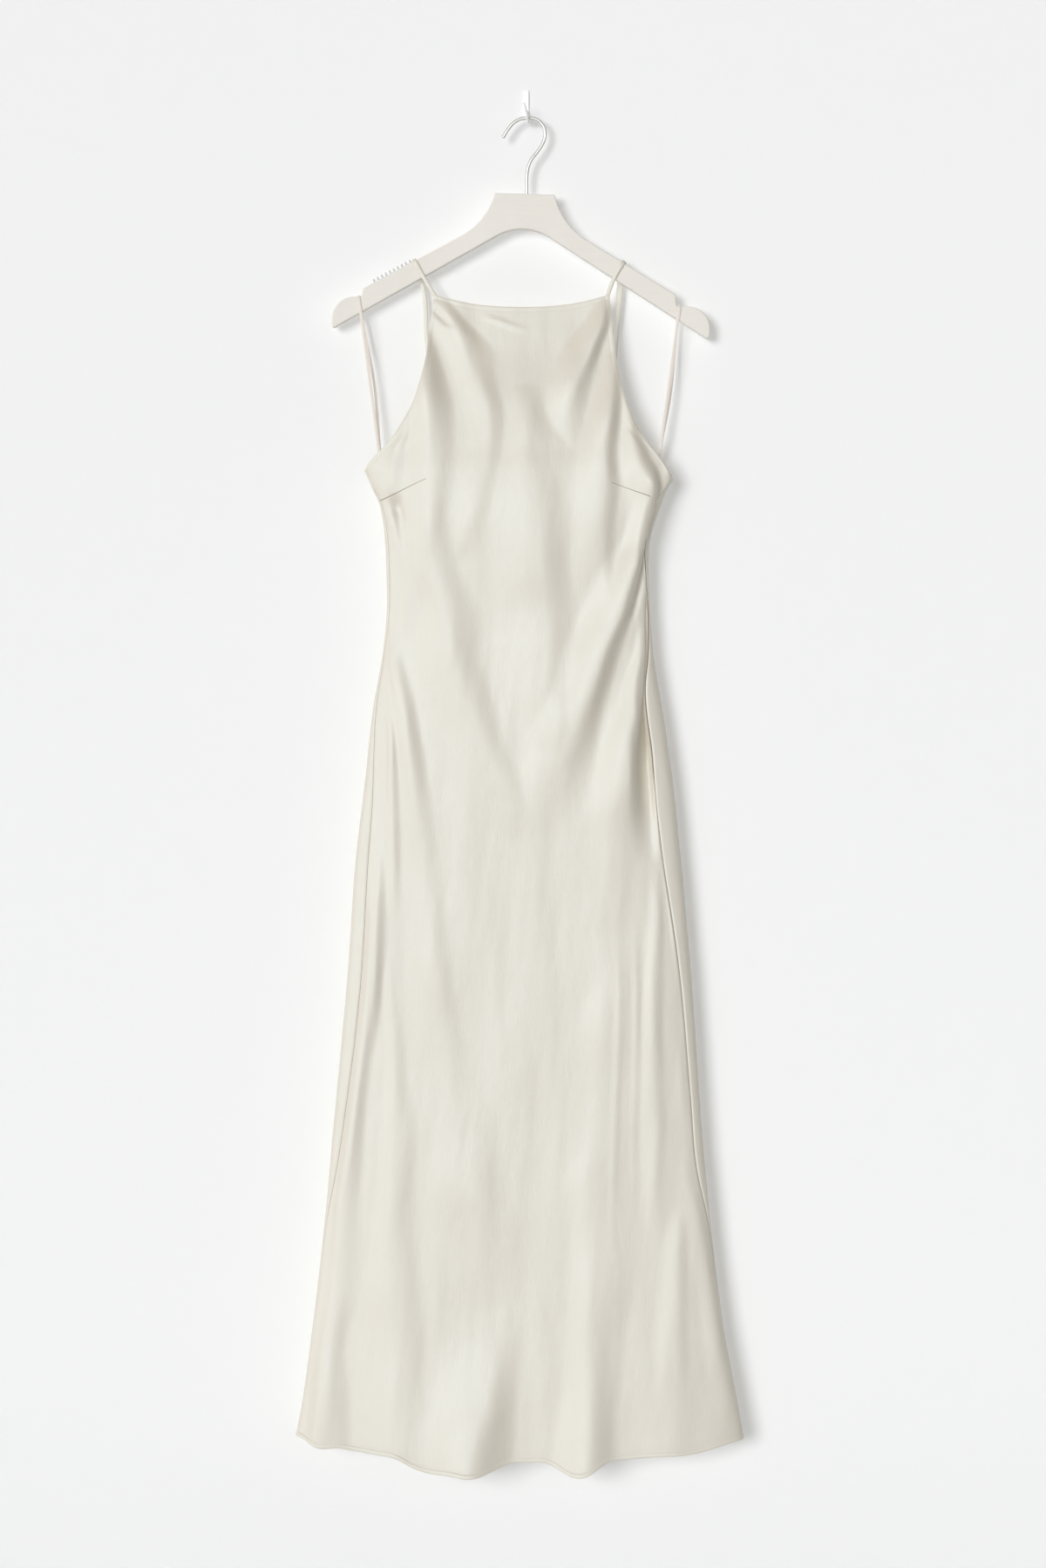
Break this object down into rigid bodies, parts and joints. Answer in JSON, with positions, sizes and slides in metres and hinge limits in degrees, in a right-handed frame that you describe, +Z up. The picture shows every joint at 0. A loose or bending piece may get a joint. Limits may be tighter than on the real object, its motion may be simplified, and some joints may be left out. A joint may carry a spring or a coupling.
{
  "type": "high neck dress on a hanger and wall hook",
  "caption": "Long satin slip dress with a high neck, thin shoulder straps and darts, hanging from a flat notched hanger whose wire rests in a small wall hook.",
  "frame": {"origin": "on the wall, at the centre of the wall hook's plate, on its back face", "axes": "+Z up along the length of the dress, +Y into the wall, +X to the right as seen from in front of the dress"},
  "size_m": [0.5126, 0.0785, 1.5869],
  "materials": {
    "satin": "satin weave with a soft directional sheen",
    "tape": "narrow ribbon",
    "painted_hanger": "matte paint",
    "wire": "plain round wire",
    "white_paint": "white gloss"
  },
  "bodies": {
    "root": {"front_panel": "satin", "back_panel": "satin", "strap_left": "satin", "strap_right": "satin", "hanger_loop_left": "tape", "hanger_loop_right": "tape", "hanger": "painted_hanger", "hanger_hook": "wire", "wall_hook": "white_paint"}
  },
  "joints": []
}
